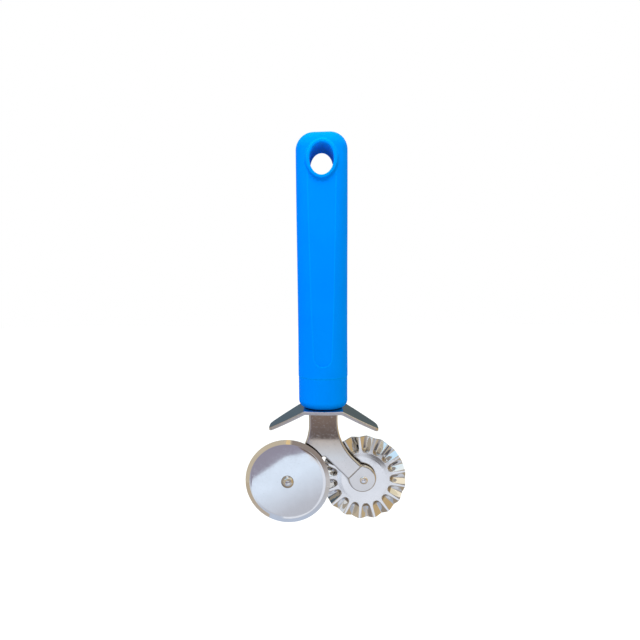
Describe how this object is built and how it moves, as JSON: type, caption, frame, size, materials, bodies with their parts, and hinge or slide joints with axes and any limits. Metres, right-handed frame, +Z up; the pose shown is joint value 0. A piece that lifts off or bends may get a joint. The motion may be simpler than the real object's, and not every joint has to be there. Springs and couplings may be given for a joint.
{
  "type": "pastry wheel",
  "caption": "Hand-held pastry wheel: moulded grip with hang hole and finger guard, steel fork with a plain and a fluted cutting wheel that turn freely.",
  "frame": {"origin": "centre of the hang hole, midway through the handle", "axes": "+Z runs up the handle away from the wheels, -Y is the front that the picture shows, +X is towards the fluted wheel"},
  "size_m": [0.0853, 0.0252, 0.2025],
  "materials": {
    "grip_plastic": "satin",
    "plate_steel": "polished",
    "wheel_steel": "mirror polished",
    "rivet_steel": "polished"
  },
  "bodies": {
    "tool": {"handle": "grip_plastic", "collar": "grip_plastic", "finger_guard": "plate_steel", "wheel_frame": "plate_steel", "plain_wheel_rivet": "rivet_steel", "plain_wheel_washer": "rivet_steel", "fluted_wheel_rivet": "rivet_steel", "fluted_wheel_washer": "rivet_steel"},
    "plain_cutter": {"plain_wheel": "wheel_steel"},
    "fluted_cutter": {"fluted_wheel": "wheel_steel"}
  },
  "joints": [
    {"name": "plain_wheel_turn", "type": "hinge", "parent": "tool", "child": "plain_cutter", "pos_m": [-0.01915, 0, -0.165], "axis": [0, 1, 0], "continuous": true},
    {"name": "fluted_wheel_turn", "type": "hinge", "parent": "tool", "child": "fluted_cutter", "pos_m": [0.0212, 0, -0.165], "axis": [0, 1, 0], "continuous": true}
  ]
}
